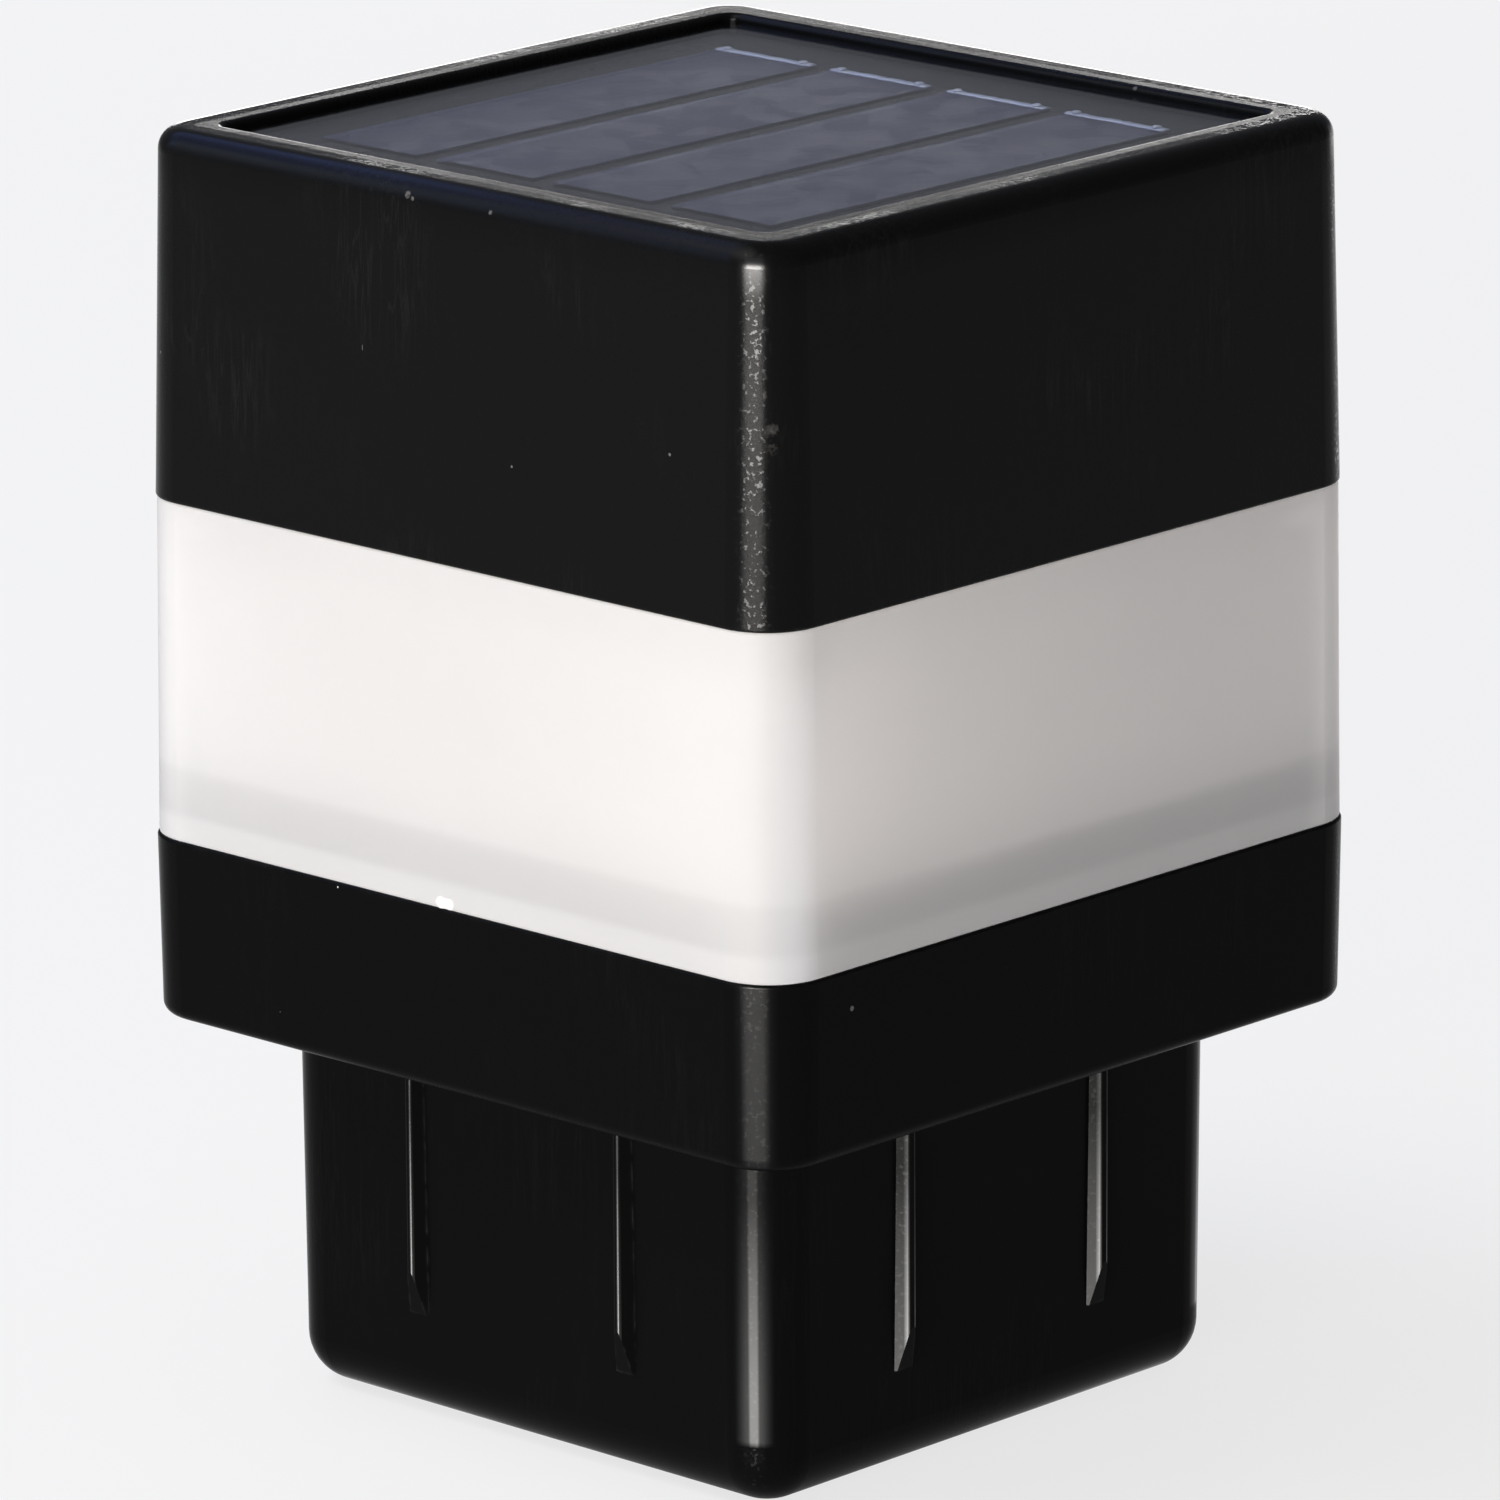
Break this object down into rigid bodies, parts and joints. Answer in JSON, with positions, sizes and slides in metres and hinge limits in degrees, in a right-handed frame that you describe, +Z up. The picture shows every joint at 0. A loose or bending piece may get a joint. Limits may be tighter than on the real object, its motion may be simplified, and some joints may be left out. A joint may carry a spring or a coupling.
{
  "type": "post cap light",
  "caption": "Square solar light that caps a hollow post: black cap with a solar panel, frosted white band, black collar and a ribbed plug that pushes into the post.",
  "frame": {"origin": "middle of the plug's flat bottom face", "axes": "+Z up along the plug and the square body; the solar cell strips run along Y; +X and +Y square to the sides"},
  "size_m": [0.0606, 0.0606, 0.0896],
  "materials": {
    "black_plastic": "satin moulded, fine texture, light scuffs",
    "frosted_plastic": "frosted translucent, smooth outside",
    "clear_resin": "glossy clear resin",
    "blue_silicon": "dark blue crystalline cell",
    "tinned_ribbon": "tinned copper ribbon",
    "grey_board": "grey coated glass laminate",
    "green_board": "solder mask",
    "white_foam": "double sided foam sheet",
    "black_rubber": "soft sealing rubber",
    "white_plastic": "white reflector plastic",
    "zinc_screw": "zinc plated",
    "clear_lamp": "clear moulded lamp",
    "chip_black": "moulded chip body",
    "coil_green": "lacquered coil",
    "can_blue": "shrunk sleeve",
    "cell_steel": "nickel plated can",
    "cell_sleeve": "shrunk sleeve, plain",
    "spring_steel": "nickel plated spring strip",
    "brown_laminate": "punched laminate",
    "silvered_brass": "silvered pin",
    "red_wire": "wire cover",
    "black_wire": "wire cover"
  },
  "bodies": {
    "housing": {"cap_shell": "black_plastic", "cap_seal": "black_rubber", "panel_adhesive": "white_foam", "panel_board": "grey_board", "solar_cells": "blue_silicon", "cell_ribbons": "tinned_ribbon", "panel_resin": "clear_resin", "diffuser_sleeve": "frosted_plastic", "base_seal": "black_rubber", "base_housing": "black_plastic", "reflector_tray": "white_plastic", "tray_screws": "zinc_screw", "led_board": "green_board", "leds": "clear_lamp", "board_screws": "zinc_screw", "control_chip": "chip_black", "inductor": "coil_green", "capacitor": "can_blue", "battery_cell": "cell_steel", "battery_sleeve": "cell_sleeve", "positive_contact": "spring_steel", "negative_contact": "spring_steel", "battery_door": "black_plastic", "door_seal": "black_rubber", "door_screw": "zinc_screw", "switch_case": "cell_steel", "terminal_plate": "brown_laminate", "switch_pins": "silvered_brass", "switch_screws": "zinc_screw", "panel_lead_red": "red_wire", "panel_lead_black": "black_wire", "battery_lead_black": "black_wire", "battery_lead_red": "red_wire", "switch_lead_red": "red_wire"},
    "slider": {"switch_slider": "white_plastic"}
  },
  "joints": [
    {"name": "switch_slide", "type": "slide", "parent": "housing", "child": "slider", "axis": [1, 0, 0], "range_m": [0, 0.002]}
  ]
}
